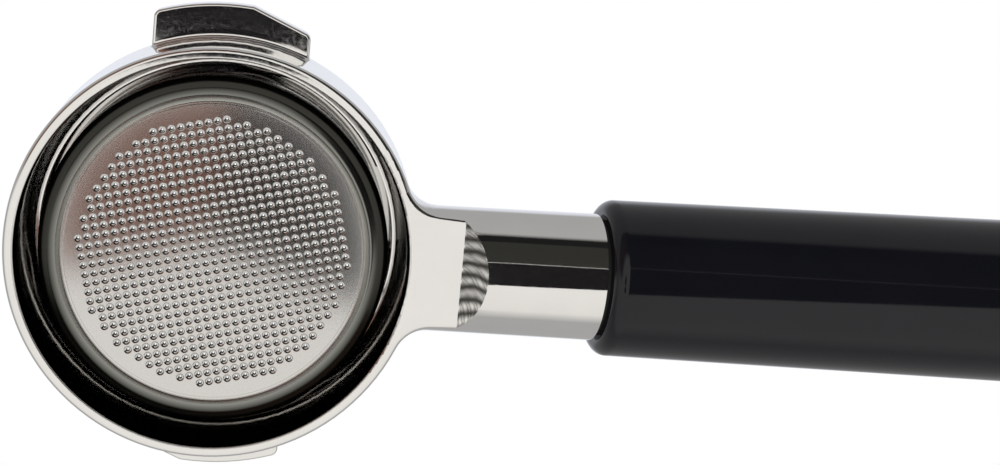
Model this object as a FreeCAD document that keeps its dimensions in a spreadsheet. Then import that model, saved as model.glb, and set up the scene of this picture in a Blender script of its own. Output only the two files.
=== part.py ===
"""Bottomless portafilter of an espresso machine: the ring with its two bayonet lugs and neck, the filter
basket with its retaining spring, and the handle with the parts that clamp it. Millimetres.

The frame is the portafilter as it hangs in the machine: +Z up, out of the basket's mouth; +X along the handle.
The origin is on the ring's axis, at the top of the basket's lip, where the group's gasket seals."""

import FreeCAD, Part
import os

import Sketcher

# Every driving size, once. Lengths are in millimetres and angles in degrees.
SIZES = {
    # filter basket, drawn from stainless sheet
    "basket_bore_radius": 29.5,
    "basket_sheet": 0.9,
    "basket_depth": 25.2,
    "basket_lip_width": 4.6,
    "basket_corner_round": 3.4,
    "basket_mouth_round": 0.8,
    "plate_bead_inset": 1.0,
    "plate_bead_width": 0.5,
    "plate_bead_depth": 0.25,
    # ring of the casting
    "ring_wall": 4.3,
    "ring_draft": 0.3,
    "basket_recess": 3.8,
    "ring_top_round": 1.2,
    "foot_wall": 1.8,
    "foot_round": 0.9,
    "foot_bore_round": 0.3,
    "basket_clearance": 1.3,
    "seat_bore_depth": 7.0,
    "seat_step": 0.3,
    # bayonet lugs
    "lug_reach": 6.0,
    "lug_width": 28.0,
    "lug_thickness": 5.6,
    "lug_drop": 1.5,
    "lead_length": 10.4,
    "lead_depth": 4.3,
    "lug_corner_round": 1.4,
    "lug_root_round": 0.8,
    "lug_edge_round": 0.5,
    # neck of the casting
    "neck_root_radius": 11.0,
    "neck_end_radius": 11.3,
    "neck_reach": 31.5,
    "neck_rise": 0.7,
    "neck_tilt": 7.0,
    "neck_blend": 6.0,
    "flat_margin": 7.3,
    "step_slope": 47.0,
    "spigot_radius": 7.0,
    "spigot_length": 5.0,
    # retaining spring of the basket
    "wire_radius": 0.6,
    "wire_clearance": 0.9,
    "groove_clearance": 0.15,
    "spring_depth": 4.3,
    "spring_turn": 332.0,
    # handle
    "seam_washer_thickness": 0.8,
    "seam_washer_inset": 1.0,
    "grip_overhang": 2.6,
    "grip_flare": 1.7,
    "grip_length": 121.0,
    "grip_front_round": 2.4,
    "grip_rear_round": 4.0,
    "core_wall": 1.2,
    "rod_radius": 4.0,
    "rod_grip": 22.0,
    "rod_end_free": 2.0,
    "pocket_radius": 9.5,
    "pocket_depth": 20.0,
    "flat_washer_radius": 8.0,
    "flat_washer_thickness": 1.6,
    "lock_washer_radius": 7.4,
    "lock_washer_thickness": 2.0,
    "lock_washer_turn": 350.0,
    "nut_across_flats": 13.0,
    "nut_height": 6.5,
    "pin_radius": 1.2,
    "pin_depth": 4.0,
    "cap_plug_length": 6.0,
    "cap_overlap": 1.1,
    "cap_head_height": 2.4,
    "cap_head_round": 1.8,
    "cap_ring_radius": 0.8,
    # clearances, and how far a cutting tool runs past what it cuts
    "assembly_clearance": 0.05,
    "slip_clearance": 0.25,
    "overcut": 1.0,
}

doc = FreeCAD.newDocument("Portafilter")
sheet = doc.addObject("Spreadsheet::Sheet", "Sizes")
for row, (alias, value) in enumerate(SIZES.items(), start=1):
    sheet.set(f"A{row}", alias)
    sheet.set(f"B{row}", str(value))
    sheet.setAlias(f"B{row}", alias)

# Sizes that several pieces share, worked out from the driving ones in the same sheet.
SHARED = {
    "ring_top": "=-basket_sheet",
    "ring_height": "=basket_depth - basket_sheet + basket_recess",
    "ring_foot": "=ring_top - ring_height",
    "basket_radius": "=basket_bore_radius + basket_sheet",
    "basket_lip_radius": "=basket_radius + basket_lip_width",
    "plate_bead_radius": "=basket_radius - basket_corner_round - plate_bead_inset",
    "seat_bore_radius": "=basket_radius + basket_clearance",
    "ring_top_radius": "=seat_bore_radius + ring_wall",
    "ring_foot_radius": "=ring_top_radius - ring_draft",
    "skirt_bore_radius": "=seat_bore_radius + seat_step",
    "foot_bore_radius": "=ring_foot_radius - foot_wall",
    "blank_foot": "=ring_foot - 2 * neck_root_radius",
    "wire_centre_radius": "=basket_radius + wire_clearance + wire_radius",
    "spring_height": "=ring_top - spring_depth",
    "groove_radius": "=wire_centre_radius + wire_radius + groove_clearance",
    "groove_half_height": "=wire_radius + groove_clearance",
    "lug_radius": "=ring_top_radius + lug_reach",
    "lug_top": "=ring_top - lug_drop",
    "neck_height": "=ring_foot + neck_rise",
    "neck_length": "=ring_top_radius + neck_reach",
    "flat_reach": "=ring_foot_radius + flat_margin",
    "grip_start": "=neck_length + seam_washer_thickness",
    "grip_end": "=grip_start + grip_length",
    "grip_front_radius": "=neck_end_radius + grip_overhang",
    "grip_rear_radius": "=grip_front_radius + grip_flare",
    "seam_washer_radius": "=neck_end_radius - seam_washer_inset",
    "pin_circle": "=(spigot_radius + slip_clearance + seam_washer_radius) / 2",
    "pocket_floor": "=grip_end - pocket_depth",
    "rod_bore_radius": "=rod_radius + slip_clearance",
    "core_radius": "=rod_bore_radius + core_wall",
    "flat_washer_end": "=pocket_floor + flat_washer_thickness",
    "lock_washer_end": "=flat_washer_end + lock_washer_thickness",
    "nut_end": "=lock_washer_end + nut_height",
    "cap_plug_radius": "=pocket_radius - slip_clearance",
    "cap_head_radius": "=pocket_radius + cap_overlap",
}
for row, (alias, formula) in enumerate(SHARED.items(), start=len(SIZES) + 1):
    sheet.set(f"A{row}", alias)
    sheet.set(f"B{row}", formula)
    sheet.setAlias(f"B{row}", alias)
doc.recompute()


def bound(formula):
    """A formula in the sheet's words, as an object outside the sheet has to write it."""
    words = sorted([*SIZES, *SHARED], key=len, reverse=True)
    out, rest = "", str(formula)
    while rest:
        word = next((w for w in words if rest.startswith(w)), None)
        out += f"Sizes.{word}" if word else rest[0]
        rest = rest[len(word) if word else 1 :]
    return out


def size(formula):
    """The number that a formula in the sheet's words gives now."""
    return float(sheet.evalExpression(str(formula)))


def bind(thing, **formulas):
    """Ties properties of an object to the sheet. A double underscore stands for a dot in a property."""
    for name, formula in formulas.items():
        thing.setExpression(name.replace("__", "."), bound(formula))


def new_body(name):
    body = doc.addObject("PartDesign::Body", name)
    body.Label = name
    return body


def origin_plane(body, role):
    return next(f for f in body.Origin.OriginFeatures if f.Role == role)


def outline(body, name, role, corners):
    """A closed outline of straight sides on one of the body's own planes, each corner tied to the sheet."""
    sketch = body.newObject("Sketcher::SketchObject", name)
    sketch.AttachmentSupport = [(origin_plane(body, role), "")]
    sketch.MapMode = "FlatFace"
    points = [FreeCAD.Vector(size(x), size(y), 0) for x, y in corners]
    for start, end in zip(points, points[1:] + points[:1]):
        sketch.addGeometry(Part.LineSegment(start, end))
    for n in range(len(points)):
        sketch.addConstraint(Sketcher.Constraint("Coincident", n, 2, (n + 1) % len(points), 1))
    for n, (point, corner) in enumerate(zip(points, corners)):
        for kind, value, formula in (("DistanceX", point.x, corner[0]), ("DistanceY", point.y, corner[1])):
            index = sketch.addConstraint(Sketcher.Constraint(kind, -1, 1, n, 1, value))
            sketch.setExpression(f"Constraints[{index}]", bound(formula))
    doc.recompute()
    return sketch


def revolved(body, name, sketch, axis, kind="Revolution", turn=360):
    feature = body.newObject(f"PartDesign::{kind}", name)
    feature.Profile = sketch
    feature.ReferenceAxis = (sketch, [axis])
    bind(feature, Angle=turn)
    doc.recompute()
    return feature


def rounded(body, name, radius, wanted):
    """Rounds the edges of the body's shape that the test picks out."""
    base = body.Tip
    names = [f"Edge{n}" for n, edge in enumerate(base.Shape.Edges, start=1) if wanted(edge)]
    if not names:
        raise RuntimeError(f"{name}: no edge to round")
    fillet = body.newObject("PartDesign::Fillet", name)
    fillet.Base = (base, names)
    bind(fillet, Radius=radius)
    doc.recompute()
    return fillet


def is_circle_about_z(edge, radius, height):
    """Whether an edge is a circle, or part of one, about the ring's axis, at that radius and height."""
    curve = edge.Curve
    return (
        isinstance(curve, Part.Circle)
        and abs(curve.Radius - radius) < 0.01
        and abs(curve.Center.z - height) < 0.01
        and abs(curve.Axis.z) > 0.999
        and curve.Center.x ** 2 + curve.Center.y ** 2 < 0.01
    )


def along_handle(thing, distance="0"):
    """Puts an object made along its own Z, such as a Part cylinder, on the handle's axis."""
    thing.Placement.Rotation = FreeCAD.Rotation(FreeCAD.Vector(0, 1, 0), size("90 - neck_tilt"))
    bind(
        thing,
        Placement__Rotation__Angle="90 - neck_tilt",
        Placement__Base__x=f"({distance}) * cos(neck_tilt)",
        Placement__Base__z=f"neck_height + ({distance}) * sin(neck_tilt)",
    )


def turned(name, corners, turn=360):
    """A piece turned about the handle's axis. A corner is (distance from the ring's axis, radius)."""
    body = new_body(name)
    sketch = outline(body, f"{name}_outline", "XZ_Plane", corners)
    revolved(body, f"{name}_turning", sketch, "H_Axis", turn=turn)
    body.Placement.Rotation = FreeCAD.Rotation(FreeCAD.Vector(0, -1, 0), size("neck_tilt"))
    bind(body, Placement__Rotation__Angle="neck_tilt", Placement__Base__z="neck_height")
    doc.recompute()
    return body


def make_portafilter_body():
    """The casting: ring, lugs and neck in one piece. The neck is blended into a blank that is deeper than the
    ring. A milling cut takes both down to the foot's plane and ends in a sloping step across the neck."""
    body = new_body("portafilter_body")
    draft = "(ring_top_radius - ring_foot_radius) / ring_height"
    ring = outline(
        body,
        "ring_blank",
        "XZ_Plane",
        [
            ("0", "ring_top"),
            ("ring_top_radius", "ring_top"),
            (f"ring_top_radius - {draft} * (ring_top - blank_foot)", "blank_foot"),
            ("0", "blank_foot"),
        ],
    )
    revolved(body, "ring", ring, "V_Axis")

    neck = outline(
        body,
        "neck_outline",
        "XZ_Plane",
        [
            ("foot_bore_radius / 2", "0"),
            ("foot_bore_radius / 2", "neck_root_radius"),
            ("ring_foot_radius", "neck_root_radius"),
            ("neck_length", "neck_end_radius"),
            ("neck_length", "spigot_radius"),
            ("neck_length + spigot_length", "spigot_radius"),
            ("neck_length + spigot_length", "rod_radius + assembly_clearance"),
            ("neck_length + spigot_length - rod_grip", "rod_radius + assembly_clearance"),
            ("neck_length + spigot_length - rod_grip", "0"),
        ],
    )
    neck.AttachmentOffset = FreeCAD.Placement(
        FreeCAD.Vector(0, size("neck_height"), 0),
        FreeCAD.Rotation(FreeCAD.Vector(0, 0, 1), size("neck_tilt")),
    )
    bind(neck, AttachmentOffset__Base__y="neck_height", AttachmentOffset__Rotation__Angle="neck_tilt")
    doc.recompute()
    revolved(body, "neck", neck, "H_Axis")

    def joins_ring_and_neck(edge):
        middle = edge.valueAt((edge.FirstParameter + edge.LastParameter) / 2)
        from_axis = (middle.x**2 + middle.y**2) ** 0.5
        on_ring = size("foot_bore_radius") < from_axis < size("ring_top_radius + overcut")
        within = size("blank_foot") < middle.z < size("ring_top")
        return on_ring and within and not isinstance(edge.Curve, (Part.Line, Part.Circle))

    rounded(body, "neck_blends", "neck_blend", joins_ring_and_neck)

    far = "2 * neck_length"
    cut = outline(
        body,
        "foot_cut_outline",
        "XZ_Plane",
        [
            (f"-({far})", "ring_foot"),
            ("flat_reach", "ring_foot"),
            ("flat_reach + 3 * neck_root_radius / tan(step_slope)", "ring_foot - 3 * neck_root_radius"),
            (f"-({far})", "ring_foot - 3 * neck_root_radius"),
        ],
    )
    pocket = body.newObject("PartDesign::Pocket", "foot_cut")
    pocket.Profile = cut
    pocket.SideType = "Symmetric"
    bind(pocket, Length="4 * ring_top_radius")
    doc.recompute()

    make_lugs(body)

    bore = outline(
        body,
        "bore_outline",
        "XZ_Plane",
        [
            ("0", "ring_top + overcut"),
            ("seat_bore_radius", "ring_top + overcut"),
            ("seat_bore_radius", "spring_height + groove_half_height"),
            ("groove_radius", "spring_height + groove_half_height"),
            ("groove_radius", "spring_height - groove_half_height"),
            ("seat_bore_radius", "spring_height - groove_half_height"),
            ("seat_bore_radius", "ring_top - seat_bore_depth"),
            ("skirt_bore_radius", "ring_top - seat_bore_depth"),
            ("foot_bore_radius", "ring_foot"),
            ("foot_bore_radius", "ring_foot - overcut"),
            ("0", "ring_foot - overcut"),
        ],
    )
    revolved(body, "bore", bore, "V_Axis", kind="Groove")
    rounded(
        body,
        "foot_rounding",
        "foot_round",
        lambda edge: is_circle_about_z(edge, size("ring_foot_radius"), size("ring_foot")),
    )
    rounded(
        body,
        "foot_bore_rounding",
        "foot_bore_round",
        lambda edge: is_circle_about_z(edge, size("foot_bore_radius"), size("ring_foot")),
    )
    rounded(
        body,
        "top_rounding",
        "ring_top_round",
        lambda edge: is_circle_about_z(edge, size("ring_top_radius"), size("ring_top")),
    )
    return body


def make_lugs(body):
    """The two bayonet lugs, half a turn apart. Each has straight ends, an outer arc about the ring's axis and
    a lead-in on the end that enters the group's slot first."""
    half, reach, inside = "lug_width / 2", "lug_radius", "ring_foot_radius - foot_wall / 2"
    crown_height = f"sqrt({reach}^2 - ({half} - lead_length)^2)"
    root_height = f"sqrt(({inside})^2 - ({half})^2)"
    points = {
        "heel": (half, f"sqrt({reach}^2 - ({half})^2)"),
        "lead_start": (f"lead_length - {half}", crown_height),
        "lead_end": (f"-{half}", f"{crown_height} - lead_depth"),
        "lead_root": (f"-{half}", root_height),
        "heel_root": (half, root_height),
    }
    at = {name: FreeCAD.Vector(size(x), size(y), 0) for name, (x, y) in points.items()}
    sketch = body.newObject("Sketcher::SketchObject", "lug_outline")
    sketch.AttachmentSupport = [(origin_plane(body, "XY_Plane"), "")]
    sketch.MapMode = "FlatFace"
    bind(sketch, AttachmentOffset__Base__z="lug_top")
    crown = Part.Circle(FreeCAD.Vector(0, 0, 0), FreeCAD.Vector(0, 0, 1), size(reach))
    ends = (crown.parameter(at["heel"]), crown.parameter(at["lead_start"]))
    sketch.addGeometry(Part.ArcOfCircle(crown, *ends))
    corners = ["lead_start", "lead_end", "lead_root", "heel_root", "heel"]
    for start, end in zip(corners, corners[1:]):
        sketch.addGeometry(Part.LineSegment(at[start], at[end]))
    for join in ((0, 2, 1, 1), (1, 2, 2, 1), (2, 2, 3, 1), (3, 2, 4, 1), (4, 2, 0, 1), (0, 3, -1, 1)):
        sketch.addConstraint(Sketcher.Constraint("Coincident", *join))
    for line, name in enumerate(corners):
        index = sketch.addConstraint(Sketcher.Constraint("DistanceX", -1, 1, line, 2, at[name].x))
        sketch.setExpression(f"Constraints[{index}]", bound(points[name][0]))
        if name != "heel":
            index = sketch.addConstraint(Sketcher.Constraint("DistanceY", -1, 1, line, 2, at[name].y))
            sketch.setExpression(f"Constraints[{index}]", bound(points[name][1]))
    doc.recompute()

    lug = body.newObject("PartDesign::Pad", "lug")
    lug.Profile = sketch
    lug.Reversed = True
    bind(lug, Length="lug_thickness")
    doc.recompute()
    pattern = body.newObject("PartDesign::PolarPattern", "lugs")
    pattern.Originals = [lug]
    pattern.Axis = (origin_plane(body, "Z_Axis"), [""])
    pattern.Angle = 360
    pattern.Occurrences = 2
    body.Tip = pattern
    doc.recompute()

    def is_upright_outside(edge):
        if not isinstance(edge.Curve, Part.Line):
            return False
        ends = [v.Point for v in edge.Vertexes]
        upright = abs(ends[0].x - ends[1].x) < 0.01 and abs(ends[0].y - ends[1].y) < 0.01
        return upright and ends[0].x ** 2 + ends[0].y ** 2 > size("ring_top_radius + lug_root_round / 2") ** 2

    rounded(body, "lug_corners", "lug_corner_round", is_upright_outside)

    def is_lug_rim(edge):
        middle = edge.valueAt((edge.FirstParameter + edge.LastParameter) / 2)
        from_axis = (middle.x**2 + middle.y**2) ** 0.5
        outside = from_axis > size("ring_top_radius + lug_root_round")
        return outside and abs(middle.z - size("lug_top - lug_thickness")) < 0.01

    rounded(body, "lug_rims", "lug_edge_round", is_lug_rim)

    def is_lug_root(edge):
        middle = edge.valueAt((edge.FirstParameter + edge.LastParameter) / 2)
        underside = size("lug_top") - size("lug_thickness")
        from_axis = (middle.x**2 + middle.y**2) ** 0.5
        on_wall = size("ring_foot_radius") < from_axis < size("ring_top_radius")
        return abs(middle.z - underside) < 0.01 and on_wall and abs(middle.y) > abs(middle.x)

    rounded(body, "lug_roots", "lug_root_round", is_lug_root)


def make_filter_basket():
    """The basket: a straight-walled cup of one sheet, with a flat lip that hangs on the ring's top. Its
    plate's perforations are left out."""
    body = new_body("filter_basket")
    plate_top = "basket_sheet - basket_depth"
    bead_in = "plate_bead_radius - plate_bead_width / 2"
    bead_out = "plate_bead_radius + plate_bead_width / 2"
    cup = outline(
        body,
        "cup_outline",
        "XZ_Plane",
        [
            ("0", plate_top),
            ("basket_bore_radius", plate_top),
            ("basket_bore_radius", "0"),
            ("basket_lip_radius", "0"),
            ("basket_lip_radius", "ring_top"),
            ("basket_radius", "ring_top"),
            ("basket_radius", "-basket_depth"),
            (bead_out, "-basket_depth"),
            (bead_out, "plate_bead_depth - basket_depth"),
            (bead_in, "plate_bead_depth - basket_depth"),
            (bead_in, "-basket_depth"),
            ("0", "-basket_depth"),
        ],
    )
    revolved(body, "cup", cup, "V_Axis")
    rounded(
        body,
        "inner_corner",
        "basket_corner_round - basket_sheet",
        lambda edge: is_circle_about_z(edge, size("basket_bore_radius"), size(plate_top)),
    )
    rounded(
        body,
        "outer_corner",
        "basket_corner_round",
        lambda edge: is_circle_about_z(edge, size("basket_radius"), size("-basket_depth")),
    )
    rounded(
        body,
        "mouth",
        "basket_mouth_round",
        lambda edge: is_circle_about_z(edge, size("basket_bore_radius"), 0),
    )
    return body


def make_basket_spring():
    """The open ring of spring wire that sits in the seat bore's groove and grips the basket."""
    spring = doc.addObject("Part::Torus", "basket_spring")
    spring.Label = "basket_spring"
    bind(
        spring,
        Radius1="wire_centre_radius",
        Radius2="wire_radius",
        Angle3="spring_turn",
        Placement__Base__z="spring_height",
    )
    return spring


def make_handle():
    """The grip, the core tube inside it, the soft washer at the seam and the cap in its rear end."""
    tube_start = "neck_length + spigot_length"
    grip = turned(
        "handle_grip",
        [
            ("grip_start", "spigot_radius + slip_clearance"),
            ("grip_start", "grip_front_radius"),
            ("grip_end", "grip_rear_radius"),
            ("grip_end", "pocket_radius"),
            ("pocket_floor", "pocket_radius"),
            ("pocket_floor", "core_radius + assembly_clearance"),
            (tube_start, "core_radius + assembly_clearance"),
            (tube_start, "spigot_radius + slip_clearance"),
        ],
    )

    def is_round_the_grip(distance, radius):
        def test(edge):
            curve = edge.Curve
            return (
                isinstance(curve, Part.Circle)
                and abs(curve.Radius - size(radius)) < 0.01
                and abs(curve.Center.x - size(distance)) < 0.01
            )

        return test

    rounded(grip, "grip_shoulder", "grip_front_round", is_round_the_grip("grip_start", "grip_front_radius"))
    rounded(grip, "grip_heel", "grip_rear_round", is_round_the_grip("grip_end", "grip_rear_radius"))
    bored_for_pin(grip, "grip_start", "pin_depth + assembly_clearance")

    turned(
        "core_tube",
        [
            (tube_start, "rod_bore_radius"),
            (tube_start, "core_radius"),
            ("pocket_floor", "core_radius"),
            ("pocket_floor", "rod_bore_radius"),
        ],
    )
    washer = turned(
        "seam_washer",
        [
            ("neck_length", "spigot_radius + slip_clearance"),
            ("neck_length", "seam_washer_radius"),
            ("grip_start", "seam_washer_radius"),
            ("grip_start", "spigot_radius + slip_clearance"),
        ],
    )
    bored_for_pin(washer, "neck_length", "seam_washer_thickness")

    groove_floor = "cap_plug_radius - 2 * cap_ring_radius"
    groove_start = "grip_end - cap_plug_length / 2 - cap_ring_radius - assembly_clearance"
    groove_end = "grip_end - cap_plug_length / 2 + cap_ring_radius + assembly_clearance"
    cap = turned(
        "end_cap",
        [
            ("grip_end - cap_plug_length", "0"),
            ("grip_end - cap_plug_length", "cap_plug_radius"),
            (groove_start, "cap_plug_radius"),
            (groove_start, groove_floor),
            (groove_end, groove_floor),
            (groove_end, "cap_plug_radius"),
            ("grip_end", "cap_plug_radius"),
            ("grip_end", "cap_head_radius"),
            ("grip_end + cap_head_height", "cap_head_radius"),
            ("grip_end + cap_head_height", "0"),
        ],
    )
    is_cap_rim = is_round_the_grip("grip_end + cap_head_height", "cap_head_radius")
    rounded(cap, "cap_dome", "cap_head_round", is_cap_rim)

    ring = doc.addObject("Part::Torus", "cap_ring")
    ring.Label = "cap_ring"
    bind(ring, Radius1="cap_plug_radius - cap_ring_radius + assembly_clearance", Radius2="cap_ring_radius")
    along_handle(ring, "grip_end - cap_plug_length / 2")


def bored_for_pin(body, start, depth):
    """Bores a turned piece for the locating pin, starting at a distance along the handle."""
    drill = body.newObject("PartDesign::SubtractiveCylinder", f"{body.Label}_pin_bore")
    drill.Placement = FreeCAD.Placement(
        FreeCAD.Vector(size(start), 0, size("pin_circle")), FreeCAD.Rotation(FreeCAD.Vector(0, 1, 0), 90)
    )
    bind(
        drill,
        Radius="pin_radius + assembly_clearance",
        Height=depth,
        Placement__Base__x=start,
        Placement__Base__z="pin_circle",
    )
    doc.recompute()
    return drill


def make_clamp():
    """The tie rod that screws into the neck, what tightens it in the grip's pocket, and the pin that stops
    the grip from turning."""
    turned(
        "tie_rod",
        [
            ("neck_length + spigot_length - rod_grip + slip_clearance", "0"),
            ("neck_length + spigot_length - rod_grip + slip_clearance", "rod_radius"),
            ("nut_end + rod_end_free", "rod_radius"),
            ("nut_end + rod_end_free", "0"),
        ],
    )
    turned(
        "flat_washer",
        [
            ("pocket_floor", "rod_bore_radius"),
            ("pocket_floor", "flat_washer_radius"),
            ("flat_washer_end", "flat_washer_radius"),
            ("flat_washer_end", "rod_bore_radius"),
        ],
    )
    turned(
        "lock_washer",
        [
            ("flat_washer_end", "rod_bore_radius"),
            ("flat_washer_end", "lock_washer_radius"),
            ("lock_washer_end", "lock_washer_radius"),
            ("lock_washer_end", "rod_bore_radius"),
        ],
        turn="lock_washer_turn",
    )

    blank = doc.addObject("Part::Prism", "nut_blank")
    blank.Polygon = 6
    bind(blank, Circumradius="nut_across_flats / 2 / cos(30)", Height="nut_height")
    hole = doc.addObject("Part::Cylinder", "nut_thread")
    bind(hole, Radius="rod_radius + assembly_clearance", Height="nut_height")
    nut = doc.addObject("Part::Cut", "clamp_nut")
    nut.Label = "clamp_nut"
    nut.Base = blank
    nut.Tool = hole
    along_handle(nut, "lock_washer_end")

    pin = doc.addObject("Part::Cylinder", "locating_pin")
    pin.Label = "locating_pin"
    bind(pin, Radius="pin_radius", Height="2 * pin_depth + seam_washer_thickness")
    pin.Placement.Rotation = FreeCAD.Rotation(FreeCAD.Vector(0, 1, 0), size("90 - neck_tilt"))
    start = "(neck_length - pin_depth)"
    bind(
        pin,
        Placement__Rotation__Angle="90 - neck_tilt",
        Placement__Base__x=f"{start} * cos(neck_tilt) - pin_circle * sin(neck_tilt)",
        Placement__Base__z=f"neck_height + {start} * sin(neck_tilt) + pin_circle * cos(neck_tilt)",
    )


def bore_neck_for_pin(body):
    """The pin's blind hole in the end of the neck, parallel to the neck's own axis."""
    drill = body.newObject("PartDesign::SubtractiveCylinder", "neck_pin_bore")
    start = "(neck_length - pin_depth - assembly_clearance)"
    drill.Placement.Rotation = FreeCAD.Rotation(FreeCAD.Vector(0, 1, 0), size("90 - neck_tilt"))
    bind(
        drill,
        Radius="pin_radius + assembly_clearance",
        Height="pin_depth + overcut",
        Placement__Rotation__Angle="90 - neck_tilt",
        Placement__Base__x=f"{start} * cos(neck_tilt) - pin_circle * sin(neck_tilt)",
        Placement__Base__z=f"neck_height + {start} * sin(neck_tilt) + pin_circle * cos(neck_tilt)",
    )
    doc.recompute()


PIECES = [
    "portafilter_body",
    "filter_basket",
    "basket_spring",
    "seam_washer",
    "handle_grip",
    "core_tube",
    "tie_rod",
    "locating_pin",
    "flat_washer",
    "lock_washer",
    "clamp_nut",
    "end_cap",
    "cap_ring",
]

casting = make_portafilter_body()
bore_neck_for_pin(casting)
make_filter_basket()
make_basket_spring()
make_handle()
make_clamp()
doc.recompute()

for thing in doc.Objects:
    if "Invalid" in thing.State or "Error" in thing.State:
        raise RuntimeError(f"{thing.Label} failed: {thing.State}")
pieces = {label: doc.getObjectsByLabel(label)[0] for label in PIECES}
for label, piece in pieces.items():
    if piece.Shape.isNull() or not piece.Shape.isValid():
        raise RuntimeError(f"{label} has no valid shape")

os.makedirs("parts", exist_ok=True)
for label, piece in pieces.items():
    piece.Shape.exportStep(os.path.join("parts", f"{label}.step"))
    box = piece.Shape.BoundBox
    low = (box.XMin, box.YMin, box.ZMin)
    high = (box.XMax, box.YMax, box.ZMax)
    corners = [round(v, 2) for v in (*low, *high)]
    print(label, len(piece.Shape.Solids), "solid,", corners, round(piece.Shape.Volume, 1))
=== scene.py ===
"""The looks of a bottomless espresso portafilter: chromed casting, perforated basket, wire spring and lacquered
handle, built round its CAD frame. Metres; +Z up out of the basket's mouth, +X along the handle."""

import math

import bmesh
import bpy
from mathutils import Matrix, Vector


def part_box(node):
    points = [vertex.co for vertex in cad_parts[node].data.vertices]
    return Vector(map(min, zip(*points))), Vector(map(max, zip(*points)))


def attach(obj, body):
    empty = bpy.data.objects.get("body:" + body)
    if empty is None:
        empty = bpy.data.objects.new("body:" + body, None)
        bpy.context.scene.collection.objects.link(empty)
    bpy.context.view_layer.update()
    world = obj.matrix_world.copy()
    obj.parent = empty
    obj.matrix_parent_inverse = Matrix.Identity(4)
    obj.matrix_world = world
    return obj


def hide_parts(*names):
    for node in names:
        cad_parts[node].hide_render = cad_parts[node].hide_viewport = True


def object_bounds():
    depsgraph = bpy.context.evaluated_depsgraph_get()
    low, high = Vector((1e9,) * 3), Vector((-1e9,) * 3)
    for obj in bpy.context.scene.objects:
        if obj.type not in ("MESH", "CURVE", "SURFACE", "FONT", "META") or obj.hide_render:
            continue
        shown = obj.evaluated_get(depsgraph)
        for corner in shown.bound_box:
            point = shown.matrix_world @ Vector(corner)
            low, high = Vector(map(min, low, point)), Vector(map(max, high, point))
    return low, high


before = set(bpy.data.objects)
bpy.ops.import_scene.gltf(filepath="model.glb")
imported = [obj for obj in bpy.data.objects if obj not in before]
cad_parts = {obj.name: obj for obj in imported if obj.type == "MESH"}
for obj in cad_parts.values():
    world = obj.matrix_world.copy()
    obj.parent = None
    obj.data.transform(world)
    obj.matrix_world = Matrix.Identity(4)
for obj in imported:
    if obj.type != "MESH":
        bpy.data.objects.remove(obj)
cad_low, cad_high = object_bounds()
MM = 0.001


# ---------------------------------------------------------------------------------------------------------------
# Casting. Ring, bayonet lugs and neck are one brass casting, milled flat across the foot and the underside of the
# neck, polished by hand on a wheel and chrome plated. The milling leaves fine ripples in the step across the neck,
# shown here by their shape and by light and dark rings in the step's colour, which are a painted reflection.
# ---------------------------------------------------------------------------------------------------------------
def new_finish(name, color, metallic, roughness, **sockets):
    """A material with its Principled shader's constant sockets set. An underscore stands for a space."""
    finish = bpy.data.materials.new(name)
    finish.use_nodes = True
    shader = finish.node_tree.nodes["Principled BSDF"]
    shader.inputs["Base Color"].default_value = (*color, 1)
    shader.inputs["Metallic"].default_value = metallic
    shader.inputs["Roughness"].default_value = roughness
    for socket, value in sockets.items():
        shader.inputs[socket.replace("_", " ")].default_value = value
    return finish, shader


def add(finish, kind, inputs=None, **settings):
    """A node of that kind, with its settings and its inputs: a number, a colour, or another node's output."""
    tree = finish.node_tree
    made = tree.nodes.new(kind)
    for name, value in settings.items():
        setattr(made, name, value)
    for name, value in (inputs or {}).items():
        if isinstance(value, bpy.types.NodeSocket):
            tree.links.new(value, made.inputs[name])
        else:
            made.inputs[name].default_value = value
    return made


def place(finish):
    """Where a point is on the piece, in metres in the portafilter's own frame."""
    return add(finish, "ShaderNodeTexCoord").outputs["Object"]


def grain(finish, size, detail=3, where=None):
    """Noise whose spots are about that size."""
    return add(
        finish,
        "ShaderNodeTexNoise",
        {"Vector": where or place(finish), "Scale": 1 / size, "Detail": detail},
    ).outputs["Fac"]


def spread(finish, value, low, high, start=0.3, end=0.7):
    """Spreads a value from start to end over low to high."""
    return add(
        finish,
        "ShaderNodeMapRange",
        {"Value": value, "From Min": start, "From Max": end, "To Min": low, "To Max": high},
    ).outputs["Result"]


def tinted(finish, value, first, second):
    """A colour that runs from the first to the second with the value."""
    mix = add(finish, "ShaderNodeMix", data_type="RGBA")
    finish.node_tree.links.new(value, mix.inputs["Factor"])
    mix.inputs["A"].default_value = (*first, 1)
    mix.inputs["B"].default_value = (*second, 1)
    return mix.outputs["Result"]


def relief(finish, height, depth, under=None):
    """Bumps of that depth in metres."""
    inputs = {"Height": height, "Distance": depth, "Strength": 1.0}
    if under is not None:
        inputs["Normal"] = under
    return add(finish, "ShaderNodeBump", inputs).outputs["Normal"]


def connect(finish, shader, **outputs):
    """Links outputs to the shader's sockets. An underscore stands for a space."""
    for socket, output in outputs.items():
        finish.node_tree.links.new(output, shader.inputs[socket.replace("_", " ")])


def dress(name, finish):
    """Gives a CAD node its finish."""
    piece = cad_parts[name]
    piece.data.materials.clear()
    piece.data.materials.append(finish)
    return piece


def finished(mesh, name, finish, crease=35):
    """Makes the object of a finished mesh, smooth but for the edges that turn more than the crease angle."""
    for face in mesh.faces:
        face.smooth = True
    for edge in mesh.edges:
        edge.smooth = edge.calc_face_angle(0) < math.radians(crease)
    data = bpy.data.meshes.new(name)
    mesh.to_mesh(data)
    mesh.free()
    piece = bpy.data.objects.new(name, data)
    bpy.context.scene.collection.objects.link(piece)
    data.materials.append(finish)
    return piece


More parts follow.
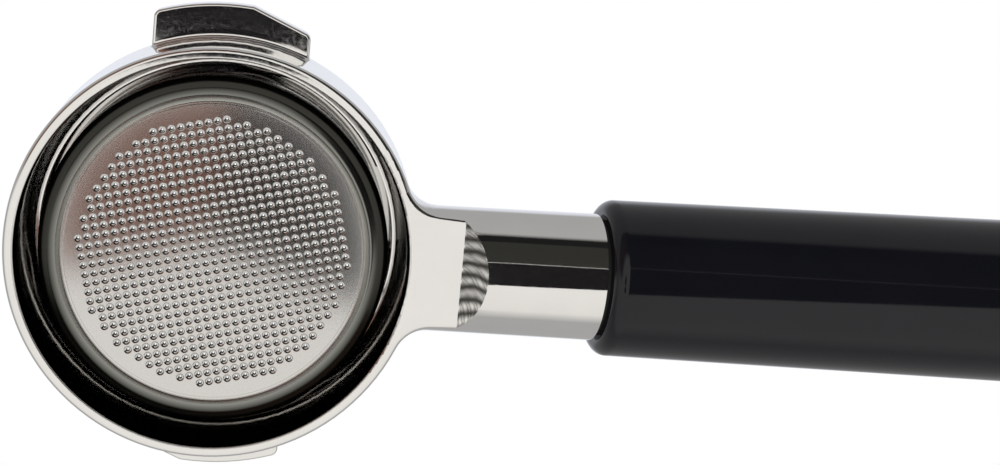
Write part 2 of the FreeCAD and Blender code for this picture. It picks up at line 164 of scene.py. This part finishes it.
ripple_depth = 0.06 * MM
ripple_length = 1.5 * MM
ripple_spacing = 0.25 * MM
fan_side = 9 * MM
fan_drop = 2 * MM
waver = 0.35 * MM
merge_distance = 0.001 * MM
beyond_ring = 40 * MM
same_plane = 0.9999

casting_mesh = bmesh.new()
casting_mesh.from_mesh(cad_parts["portafilter_body"].data)
bmesh.ops.remove_doubles(casting_mesh, verts=casting_mesh.verts, dist=merge_distance)
# The step is the one slanting flat under the neck. It is cut into small cells, which then take the ripples.
step_faces = [
    face
    for face in casting_mesh.faces
    if abs(face.normal.y) < 0.01
    and -0.75 < face.normal.x < -0.70
    and face.calc_center_median().x > beyond_ring
]
step_normal = step_faces[0].normal.copy()
step_points = [vert.co.copy() for face in step_faces for vert in face.verts]
step_corner = min(step_points, key=lambda point: point.x)
step_rise = step_normal.cross(Vector((0, 1, 0)))
inside = set(step_faces)
for across in (Vector((0, 1, 0)), step_rise):
    reach = [point.dot(across) for point in step_points]
    for n in range(1, int((max(reach) - min(reach)) / ripple_spacing)):
        cut_at = step_corner + across * (min(reach) + n * ripple_spacing - step_corner.dot(across))
        geometry = set(inside)
        for face in inside:
            geometry.update(face.edges)
            geometry.update(face.verts)
        bmesh.ops.bisect_plane(
            casting_mesh, geom=list(geometry), dist=0, plane_co=cut_at, plane_no=across
        )
        inside = {
            face
            for vert in geometry
            if isinstance(vert, bmesh.types.BMVert) and vert.is_valid
            for face in vert.link_faces
            if face.normal.dot(step_normal) > same_plane
        }
step_edges = {edge for face in inside for edge in face.edges}
rim = {vert for edge in step_edges if not inside.issuperset(edge.link_faces) for vert in edge.verts}
for vert in {vert for face in inside for vert in face.verts} - rim:
    along = (vert.co - step_corner).dot(step_rise)
    sweep = math.hypot(vert.co.y - fan_side, along + fan_drop) + waver * math.sin(vert.co.y / MM)
    vert.co += step_normal * ripple_depth * math.sin(math.tau * sweep / ripple_length)

chrome, chrome_shader = new_finish("polished_chrome", (0.84, 0.83, 0.81), 1.0, 0.05)
wheel_marks = grain(chrome, 6 * MM)
haze = grain(chrome, 0.8 * MM, detail=6)
connect(
    chrome,
    chrome_shader,
    Base_Color=tinted(chrome, wheel_marks, (0.86, 0.85, 0.83), (0.80, 0.79, 0.775)),
    Roughness=spread(chrome, haze, 0.03, 0.075),
    Normal=relief(chrome, wheel_marks, 0.01 * MM),
)

milled, milled_shader = new_finish("milled_step", (0.5, 0.5, 0.48), 1.0, 0.1)
fan_shift = (-47 * MM, -12 * MM, 30 * MM)
fan_centre = add(milled, "ShaderNodeMapping", {"Vector": place(milled), "Location": fan_shift})
# The cutter marks' rings set the roughness, and also paint light and dark rings into the colour as a painted
# reflection.
cutter_marks_and_painted_reflection = add(
    milled,
    "ShaderNodeTexWave",
    {"Vector": fan_centre.outputs["Vector"], "Scale": 150.0, "Distortion": 2.0, "Detail Scale": 1.5},
    wave_type="RINGS",
    rings_direction="SPHERICAL",
).outputs["Fac"]
connect(
    milled,
    milled_shader,
    Base_Color=tinted(milled, cutter_marks_and_painted_reflection, (0.10, 0.10, 0.09), (0.88, 0.87, 0.84)),
    Roughness=spread(milled, cutter_marks_and_painted_reflection, 0.18, 0.06, 0, 1),
)
for face in inside:
    face.material_index = 1
casting = finished(casting_mesh, "chromed_casting", chrome, crease=30)
casting.data.materials.append(milled)

# Flats are shaded as true flats, and the foot's two rounds as true rounds up to where the neck runs into them. Each
# round is (its centre's radius, its own radius, which way it faces).
level = 0.99999
foot_height = -29.0 * MM
before_neck = 28 * MM
slack = 0.02 * MM
round_slack = 0.03 * MM
foot_rounds = ((34.8 * MM, 0.9 * MM, 1), (34.2 * MM, 0.3 * MM, -1))
corner_normals = [Vector(normal.vector) for normal in casting.data.corner_normals]
for face in casting.data.polygons:
    if abs(face.normal.z) > level:
        for n in face.loop_indices:
            corner_normals[n] = face.normal.copy()
        continue
    for round_radius, round_size, side in foot_rounds:
        exact = []
        for n in face.vertices:
            point = casting.data.vertices[n].co
            out = side * (point.xy.length - round_radius)
            drop = point.z - foot_height - round_size
            on_arc = abs(math.hypot(out, drop) - round_size) < round_slack
            if out > -slack and drop < slack and on_arc:
                outward = Vector((point.x, point.y, 0)).normalized()
                exact.append((outward * side * out + Vector((0, 0, drop))).normalized())
        if len(exact) == len(face.vertices) and face.center.x < before_neck:
            for n, normal in zip(face.loop_indices, exact):
                corner_normals[n] = normal
casting.data.normals_split_custom_set(corner_normals)
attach(casting, "portafilter")
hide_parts("portafilter_body")


# ---------------------------------------------------------------------------------------------------------------
# Filter basket. A cup drawn from 0.9 mm stainless sheet, with a flat lip, darker round its outer corner by a painted
# reflection. Its plate is coined from below: each hole is a small round dimple with a pierced hole in its middle. It
# drops in from above.
# ---------------------------------------------------------------------------------------------------------------
sheet = 0.9 * MM
basket_low, basket_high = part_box("filter_basket")
plate_under = basket_low.z
plate_top = plate_under + sheet
lip_radius = basket_high.x
lip_under = basket_high.z - sheet
bore_radius = 29.5 * MM
wall_radius = bore_radius + sheet
corner_radius = 3.4 * MM
mouth_round = 0.8 * MM
lip_round = 0.4 * MM
bead_radius = 26.0 * MM
bead_half = 0.3 * MM
bead_depth = 0.28 * MM
rim_drop = 0.12 * MM
plate_join_under = 24.9 * MM
plate_join_top = 26.2 * MM
hole_pitch = 1.6 * MM
hole_rows = 29
field_radius = 23.55 * MM
lattice_turn = math.radians(-14.5)
cuts_per_side = 2
facets = 4 * (cuts_per_side + 1)
first_inset = 0.01 * MM
basket_steps = 144
weld_distance = 0.002 * MM
dimple_depth = 0.26 * MM
dimple_rings = [(0.72 * MM, 0), (0.61 * MM, 0.11 * MM), (0.47 * MM, 0.2 * MM), (0.31 * MM, dimple_depth)]
pierced_rings = [(0.2 * MM, 0), (0.16 * MM, -0.04 * MM), (0.31 * MM, dimple_depth - sheet)]


def blended(finish, value, under, over):
    """The colour under, giving way to the flat colour over as the value rises."""
    mix = add(finish, "ShaderNodeMix", data_type="RGBA")
    finish.node_tree.links.new(value, mix.inputs["Factor"])
    finish.node_tree.links.new(under, mix.inputs["A"])
    mix.inputs["B"].default_value = (*over, 1)
    return mix.outputs["Result"]


def times(finish, first, second):
    """The product of two values."""
    return add(finish, "ShaderNodeMath", {0: first, 1: second}, operation="MULTIPLY").outputs[0]


def less(finish, value, amount):
    """A value with an amount taken off."""
    return add(finish, "ShaderNodeMath", {0: value, 1: amount}, operation="SUBTRACT").outputs[0]


def arc(centre_radius, centre_height, radius, start, end, steps, ripple=0.0):
    """Points (radius, height) along an arc of a turned profile, from one angle to another in degrees."""
    points = []
    for n in range(steps + 1):
        angle = math.radians(start + (end - start) * n / steps)
        reach = radius + ripple * math.sin(4 * math.tau * n / steps)
        points.append((centre_radius + reach * math.cos(angle), centre_height + reach * math.sin(angle)))
    return points


def spun(mesh, profile, steps, turn=math.tau, closed=False):
    """Turns an outline of (radius, height) points about the ring's axis."""
    verts = [mesh.verts.new((radius, 0, height)) for radius, height in profile]
    pairs = list(zip(verts, verts[1:] + verts[:1])) if closed else list(zip(verts, verts[1:]))
    edges = [mesh.edges.new(pair) for pair in pairs]
    bmesh.ops.spin(
        mesh,
        geom=verts + edges,
        cent=(0, 0, 0),
        axis=(0, 0, 1),
        angle=turn,
        steps=steps,
        use_merge=turn >= math.tau,
        use_duplicate=False,
    )


def perforated_skin(mesh, height, rings):
    """A flat skin of square cells, each with a round opening that the rings of (radius, height) shape.
    Returns the edges round the whole field."""
    start = set(mesh.faces)
    bmesh.ops.create_grid(
        mesh, x_segments=hole_rows, y_segments=hole_rows, size=hole_rows * hole_pitch / 2
    )
    cells = [face for face in mesh.faces if face not in start]
    outside = [face for face in cells if face.calc_center_median().length > field_radius]
    bmesh.ops.delete(mesh, geom=outside, context="FACES")
    cells = [face for face in mesh.faces if face not in start]
    sides = list({edge for face in cells for edge in face.edges})
    bmesh.ops.subdivide_edges(mesh, edges=sides, cuts=cuts_per_side, use_grid_fill=False)
    cells = [face for face in mesh.faces if face not in start]
    centres = [face.calc_center_median() for face in cells]
    for radius, rise in rings:
        bmesh.ops.inset_individual(mesh, faces=cells, thickness=first_inset, use_even_offset=True)
        for face, centre in zip(cells, centres):
            for vert in face.verts:
                step = math.tau / facets
                angle = math.atan2(vert.co.y - centre.y, vert.co.x - centre.x)
                angle = (round(angle / step - 0.5) + 0.5) * step
                vert.co = centre + Vector((radius * math.cos(angle), radius * math.sin(angle), rise))
    made = [face for face in mesh.faces if face not in start]
    outline = [edge for edge in {e for face in made for e in face.edges} if edge.is_boundary]
    skin = {vert for face in made for vert in face.verts}
    bmesh.ops.delete(mesh, geom=cells, context="FACES_ONLY")
    place_on_plate = Matrix.Translation((0, 0, height)) @ Matrix.Rotation(lattice_turn, 4, "Z")
    bmesh.ops.transform(mesh, matrix=place_on_plate, verts=list(skin))
    return outline


def loop_at(mesh, radius, height):
    """The open edges of a turned shape that run round at that radius and height."""
    near = 0.01 * MM
    return [
        edge
        for edge in mesh.edges
        if edge.is_boundary
        and all(abs(v.co.z - height) < near and abs(v.co.xy.length - radius) < near for v in edge.verts)
    ]


basket_mesh = bmesh.new()
basket_profile = [
    (plate_join_under, plate_under),
    (bead_radius - bead_half, plate_under),
    (bead_radius - bead_half / 2, plate_under + bead_depth),
    (bead_radius + bead_half / 2, plate_under + bead_depth),
    (bead_radius + bead_half, plate_under + rim_drop / 2),
    *arc(wall_radius - corner_radius, plate_under + corner_radius, corner_radius, -90, 0, 32, 0.014 * MM),
    (wall_radius, lip_under - 0.3 * MM),
    (wall_radius + 0.3 * MM, lip_under),
    (lip_radius - lip_round, lip_under),
    *arc(lip_radius - lip_round, basket_high.z - lip_round, lip_round, 0, 90, 5),
    *arc(bore_radius + mouth_round, basket_high.z - mouth_round, mouth_round, 90, 180, 6),
    *arc(
        wall_radius - corner_radius, plate_under + corner_radius, corner_radius - sheet, 0, -90, 12
    ),
    (plate_join_top, plate_top),
]
spun(basket_mesh, basket_profile, basket_steps)
outline_under = perforated_skin(basket_mesh, plate_under, dimple_rings)
outline_top = perforated_skin(basket_mesh, plate_top, pierced_rings)
for outline, radius, height, faces_to in (
    (outline_under, plate_join_under, plate_under, -1),
    (outline_top, plate_join_top, plate_top, 1),
):
    rim = loop_at(basket_mesh, radius, height)
    bmesh.ops.triangle_fill(
        basket_mesh, use_beauty=True, use_dissolve=False, edges=outline + rim, normal=(0, 0, faces_to)
    )
bmesh.ops.remove_doubles(basket_mesh, verts=basket_mesh.verts, dist=weld_distance)
bmesh.ops.recalc_face_normals(basket_mesh, faces=basket_mesh.faces)

steel, steel_shader = new_finish("stainless_sheet", (0.66, 0.65, 0.63), 1.0, 0.12)
pores = grain(steel, 0.16 * MM, detail=4)
spot = add(steel, "ShaderNodeSeparateXYZ", {"Vector": place(steel)})
flat_spot = add(steel, "ShaderNodeCombineXYZ", {"X": spot.outputs["X"], "Y": spot.outputs["Y"]})
off_axis = add(
    steel, "ShaderNodeVectorMath", {0: flat_spot.outputs["Vector"]}, operation="LENGTH"
).outputs["Value"]
# Painted reflection: past the bead, the outside of the lower corner is painted grey, and further out near black, for
# the dark bore that it reflects. The near black band is also made rougher.
painted_grey_reflection = spread(steel, off_axis, 0, 1, bead_radius + 0.2 * MM, bead_radius + 0.4 * MM)
painted_dark_reflection = spread(steel, off_axis, 0, 1, bead_radius + 0.6 * MM, bead_radius + 2.4 * MM)
corner_spot = add(
    steel,
    "ShaderNodeCombineXYZ",
    {
        "X": less(steel, off_axis, wall_radius - corner_radius),
        "Y": less(steel, spot.outputs["Z"], plate_under + corner_radius),
    },
)
from_corner = add(
    steel, "ShaderNodeVectorMath", {0: corner_spot.outputs["Vector"]}, operation="LENGTH"
).outputs["Value"]
outside_skin = spread(steel, from_corner, 0, 1, corner_radius - 0.7 * sheet, corner_radius - 0.3 * sheet)
near_corner = spread(steel, spot.outputs["Z"], 1, 0, plate_under + 5 * MM, plate_under + 8 * MM)
on_corner = times(steel, outside_skin, near_corner)
painted_grey_reflection = times(steel, painted_grey_reflection, on_corner)
painted_dark_reflection = times(steel, painted_dark_reflection, on_corner)
# Painted shade: the walls of the pierced holes are painted near black, for the shade inside them.
in_plate = spread(steel, off_axis, 1, 0, field_radius + 1.0 * MM, field_radius + 1.2 * MM)
past_floor = spread(steel, spot.outputs["Z"], 0, 1, plate_under + 0.235 * MM, plate_under + 0.27 * MM)
before_top = spread(steel, spot.outputs["Z"], 1, 0, plate_top - 0.05 * MM, plate_top - 0.02 * MM)
painted_hole_shade = times(steel, in_plate, times(steel, past_floor, before_top))
worn = tinted(steel, pores, (0.76, 0.75, 0.73), (0.62, 0.61, 0.595))
tone = blended(steel, painted_grey_reflection, worn, (0.36, 0.365, 0.34))
tone = blended(steel, painted_dark_reflection, tone, (0.055, 0.056, 0.05))
connect(
    steel,
    steel_shader,
    Base_Color=blended(steel, painted_hole_shade, tone, (0.035, 0.033, 0.032)),
    Roughness=spread(steel, painted_dark_reflection, 0.1, 0.22, 0, 1),
    Normal=relief(steel, pores, 0.0012 * MM),
)
basket = finished(basket_mesh, "perforated_basket", steel, crease=25)
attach(basket, "basket")
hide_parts("filter_basket")


# ---------------------------------------------------------------------------------------------------------------
# Retaining spring. Hard drawn wire bent to an open ring, sunk half its thickness in a groove of the casting. Three
# shallow bends stand in from the groove and press on the basket, so that it doesn't fall out when it is knocked.
# ---------------------------------------------------------------------------------------------------------------
spring_low, spring_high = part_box("basket_spring")
wire_radius = (spring_high.z - spring_low.z) / 2
wire_ring_radius = spring_high.x - wire_radius
wire_height = spring_low.z + wire_radius
spring_turn = math.radians(332)
bend_places = [math.radians(angle) for angle in (52, 166, 280)]
bend_reach = math.radians(13)
bend_depth = 0.8 * MM
wire_sides = 12
wire_steps = 150

wire_mesh = bmesh.new()
wire_section = [
    (wire_ring_radius + reach, wire_height + rise)
    for reach, rise in arc(0, 0, wire_radius, 0, 360 - 360 / wire_sides, wire_sides - 1)
]
spun(wire_mesh, wire_section, wire_steps, turn=spring_turn, closed=True)
bmesh.ops.holes_fill(wire_mesh, edges=wire_mesh.edges, sides=wire_sides)
for vert in wire_mesh.verts:
    angle = math.atan2(vert.co.y, vert.co.x) % math.tau
    for bend in bend_places:
        share = max(0.0, 1 - abs(angle - bend) / bend_reach)
        inward = bend_depth * share * share * (3 - 2 * share)
        vert.co.xy *= 1 - inward / vert.co.xy.length
bmesh.ops.recalc_face_normals(wire_mesh, faces=wire_mesh.faces)

wire_steel, wire_shader = new_finish("drawn_spring_wire", (0.58, 0.57, 0.56), 1.0, 0.2)
draw_marks = grain(wire_steel, 0.5 * MM)
connect(
    wire_steel,
    wire_shader,
    Base_Color=tinted(wire_steel, draw_marks, (0.40, 0.39, 0.38), (0.28, 0.27, 0.26)),
    Roughness=spread(wire_steel, draw_marks, 0.15, 0.3),
)
spring = finished(wire_mesh, "retaining_spring", wire_steel)
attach(spring, "spring")
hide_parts("basket_spring")


# ---------------------------------------------------------------------------------------------------------------
# Grip and end cap. The grip is turned, then dipped in black gloss lacquer, which lies a little uneven on it. The
# cap is pressed into its rear end and finished the same way.
# ---------------------------------------------------------------------------------------------------------------
lacquer, lacquer_shader = new_finish(
    "black_gloss_lacquer", (0.006, 0.0065, 0.009), 0.0, 0.09, Specular_IOR_Level=0.34
)
flow = grain(lacquer, 14 * MM, detail=2)
dust = grain(lacquer, 0.5 * MM, detail=5)
connect(
    lacquer,
    lacquer_shader,
    Base_Color=tinted(lacquer, flow, (0.005, 0.0055, 0.008), (0.008, 0.0085, 0.012)),
    Roughness=spread(lacquer, dust, 0.05, 0.12),
    Normal=relief(lacquer, flow, 0.02 * MM),
)
dress("handle_grip", lacquer)
dress("end_cap", lacquer)


# ---------------------------------------------------------------------------------------------------------------
# Seam washer and cap ring. Both are black rubber: one takes up the joint between neck and grip, the other holds
# the cap's plug in the grip's pocket.
# ---------------------------------------------------------------------------------------------------------------
rubber, rubber_shader = new_finish("black_rubber", (0.015, 0.015, 0.015), 0.0, 0.7)
bloom = grain(rubber, 0.4 * MM)
connect(
    rubber,
    rubber_shader,
    Base_Color=tinted(rubber, bloom, (0.012, 0.012, 0.012), (0.022, 0.022, 0.021)),
    Roughness=spread(rubber, bloom, 0.6, 0.8),
)
dress("seam_washer", rubber)
dress("cap_ring", rubber)


# ---------------------------------------------------------------------------------------------------------------
# Clamp. The core tube, the threaded rod and what tightens it lie inside the grip: an aluminium tube turned from
# bar, and zinc-plated steel for the rod, the pin, both washers and the nut.
# ---------------------------------------------------------------------------------------------------------------
turned_metal, turned_shader = new_finish("turned_aluminium", (0.78, 0.78, 0.79), 1.0, 0.3)
tool_marks = add(
    turned_metal,
    "ShaderNodeTexWave",
    {"Vector": place(turned_metal), "Scale": 600.0, "Distortion": 1.0},
    bands_direction="X",
).outputs["Fac"]
connect(
    turned_metal,
    turned_shader,
    Base_Color=tinted(turned_metal, tool_marks, (0.80, 0.80, 0.81), (0.70, 0.70, 0.71)),
    Roughness=spread(turned_metal, tool_marks, 0.22, 0.4, 0, 1),
    Normal=relief(turned_metal, tool_marks, 0.01 * MM),
)
dress("core_tube", turned_metal)

zinc, zinc_shader = new_finish("zinc_plated_steel", (0.66, 0.66, 0.68), 1.0, 0.35)
crystals = grain(zinc, 1.2 * MM, detail=4)
connect(
    zinc,
    zinc_shader,
    Base_Color=tinted(zinc, crystals, (0.70, 0.70, 0.73), (0.58, 0.58, 0.60)),
    Roughness=spread(zinc, crystals, 0.28, 0.45),
)
for name in ("tie_rod", "locating_pin", "flat_washer", "lock_washer", "clamp_nut"):
    dress(name, zinc)


# ---------------------------------------------------------------------------------------------------------------
# Floor. A plain pale sheet that the portafilter stands on. It only shows from above, so that it doesn't stand
# between the object and a viewer who looks up at it, and it neither lights the object nor shows in its chrome.
# ---------------------------------------------------------------------------------------------------------------
floor_half_width = 4.0

floor_mesh = bmesh.new()
bmesh.ops.create_grid(floor_mesh, x_segments=1, y_segments=1, size=floor_half_width)
bmesh.ops.translate(floor_mesh, vec=(0, 0, cad_low.z), verts=floor_mesh.verts)
pale, pale_shader = new_finish("pale_floor", (0.86, 0.86, 0.85), 0.0, 0.7)
from_above = add(pale, "ShaderNodeMixShader")
pale.node_tree.links.new(add(pale, "ShaderNodeNewGeometry").outputs["Backfacing"], from_above.inputs["Fac"])
pale.node_tree.links.new(pale_shader.outputs["BSDF"], from_above.inputs[1])
pale.node_tree.links.new(add(pale, "ShaderNodeBsdfTransparent").outputs["BSDF"], from_above.inputs[2])
pale.node_tree.links.new(from_above.outputs["Shader"], pale.node_tree.nodes["Material Output"].inputs["Surface"])
floor = finished(floor_mesh, "floor", pale)
floor.visible_glossy = False
floor.visible_diffuse = False
floor.visible_shadow = False


# ---------------------------------------------------------------------------------------------------------------
# Studio. A tent that the camera sees as white and that lights dull surfaces as white. Metal and lacquer see grey and
# dark walls in it, and cards that only show as reflections: chrome has no looks of its own, so walls and cards give
# it its dark bands.
# ---------------------------------------------------------------------------------------------------------------
def card(name, corners, color):
    """A flat card that only reflections see, its corners in millimetres."""
    shape = bmesh.new()
    shape.faces.new([shape.verts.new(Vector(corner) * MM) for corner in corners])
    paper = bpy.data.materials.new(name)
    paper.use_nodes = True
    paper.node_tree.nodes.clear()
    glow = add(paper, "ShaderNodeEmission", {"Color": (*color, 1), "Strength": 1.0})
    out = add(paper, "ShaderNodeOutputMaterial")
    paper.node_tree.links.new(glow.outputs["Emission"], out.inputs["Surface"])
    paper.cycles.emission_sampling = "NONE"
    made = finished(shape, name, paper)
    made.visible_camera = False
    made.visible_diffuse = False
    made.visible_shadow = False


card_height = -421
black = (0.012, 0.011, 0.012)
charcoal = (0.034, 0.034, 0.03)
copper = (0.20, 0.095, 0.07)
for name, color, corners in (
    ("neck_low_card", black, [(164, 118), (205, 105), (440, -25), (480, -203), (164, -193)]),
    ("neck_high_card", charcoal, [(164, -198), (480, -208), (490, -290), (360, -900), (164, -900)]),
    ("plate_black_card", black, [(-10, 64), (-7, 8), (20, 15), (38, 33), (48, 62), (46, 82), (24, 76)]),
    (
        "plate_copper_card",
        copper,
        [(-10, 64), (-7, 8), (-38, 16), (-58, 36), (-66, 62), (-62, 78), (-40, 72)],
    ),
    ("lug_black_card", black, [(-52, -1), (-52, -92), (22, -92), (22, -1)]),
    ("lug_copper_card", copper, [(-62, -1), (-62, -92), (-52, -92), (-52, -1)]),
):
    card(name, [(x, y, card_height) for x, y in corners], color)

world = bpy.data.worlds.new("white_tent")
bpy.context.scene.world = world
world.use_nodes = True


def ramp(tree, value, stops):
    """A colour that goes from stop to stop, each (place, colour), as the value does."""
    made = add(tree, "ShaderNodeValToRGB", {"Fac": value})
    elements = made.color_ramp.elements
    while len(elements) < len(stops):
        elements.new(0.5)
    for element, (at, color) in zip(elements, stops):
        element.position = at
        element.color = (*color, 1)
    return made.outputs["Color"]


def grey(value, warmth=0.0):
    """A grey of that value, a little redder than neutral with warmth."""
    return (value * (1 + warmth), value, value * (1 - warmth))


# The walls' colours go round with the compass, the tent's with the height. The walls show only low on one side.
looking = add(world, "ShaderNodeTexCoord").outputs["Generated"]
direction = add(world, "ShaderNodeSeparateXYZ", {"Vector": looking})
height = spread(world, direction.outputs["Z"], 0, 1, -1, 1)
round_about = add(
    world,
    "ShaderNodeTexGradient",
    {"Vector": add(world, "ShaderNodeMapping", {"Vector": looking, "Scale": (1, -1, 1)}).outputs["Vector"]},
    gradient_type="RADIAL",
).outputs["Fac"]
walls = ramp(
    world,
    round_about,
    [
        (0.00, grey(0.34)),
        (0.12, grey(0.45)),
        (0.25, grey(0.62, 0.02)),
        (0.40, grey(0.55)),
        (0.50, grey(0.34)),
        (0.56, grey(0.03)),
        (0.72, grey(0.012)),
        (0.77, (0.10, 0.05, 0.035)),
        (0.86, (0.17, 0.095, 0.07)),
        (0.96, (0.20, 0.13, 0.10)),
        (1.00, grey(0.34)),
    ],
)
tent = ramp(
    world,
    height,
    [
        (0.00, (0.93, 0.91, 0.88)),
        (0.30, (0.86, 0.84, 0.81)),
        (0.46, grey(0.44, 0.01)),
        (0.92, grey(0.42)),
        (0.965, (0.76, 0.78, 0.85)),
        (1.00, (0.84, 0.86, 0.93)),
    ],
)
dark_side = ramp(world, round_about, [(0.50, grey(0)), (0.545, grey(1)), (0.965, grey(1)), (1.0, grey(0))])
low_wall = ramp(world, height, [(0.10, grey(0)), (0.17, grey(1)), (0.40, grey(1)), (0.46, grey(0))])
dark_wall = times(world, dark_side, low_wall)
seen_in_metal = add(world, "ShaderNodeMix", data_type="RGBA")
for socket, output in (("Factor", dark_wall), ("A", tent), ("B", walls)):
    world.node_tree.links.new(output, seen_in_metal.inputs[socket])

# Camera rays and diffuse rays see white instead.
backdrop = add(world, "ShaderNodeMix", data_type="RGBA")
backdrop.inputs["B"].default_value = (1, 1, 1, 1)
rays = add(world, "ShaderNodeLightPath").outputs
seen_or_lit = add(
    world, "ShaderNodeMath", {0: rays["Is Camera Ray"], 1: rays["Is Diffuse Ray"]}, operation="MAXIMUM"
)
world.node_tree.links.new(seen_or_lit.outputs[0], backdrop.inputs["Factor"])
world.node_tree.links.new(seen_in_metal.outputs["Result"], backdrop.inputs["A"])
world.node_tree.links.new(backdrop.outputs["Result"], world.node_tree.nodes["Background"].inputs["Color"])
bpy.context.scene.view_settings.view_transform = "Standard"


# ---------------------------------------------------------------------------------------------------------------
# Camera. It looks up at the underside, a little from the front of the ring, through a short telephoto lens.
# ---------------------------------------------------------------------------------------------------------------
eye = Vector((8.7, -66.9, -422.1)) * MM
aim = Vector((49.4, -7.4, -25.0)) * MM
roll = math.radians(-5.44)
lens = bpy.data.cameras.new("camera")
lens.sensor_width = 36
lens.lens = 83
lens.clip_start = 10 * MM
camera = bpy.data.objects.new("camera", lens)
bpy.context.scene.collection.objects.link(camera)
forward = (aim - eye).normalized()
right = Matrix.Rotation(roll, 3, forward) @ forward.cross(Vector((0, -1, 0))).normalized()
turn = Matrix((right, right.cross(forward), -forward)).transposed()
camera.matrix_world = Matrix.Translation(eye) @ turn.to_4x4()
bpy.context.scene.camera = camera
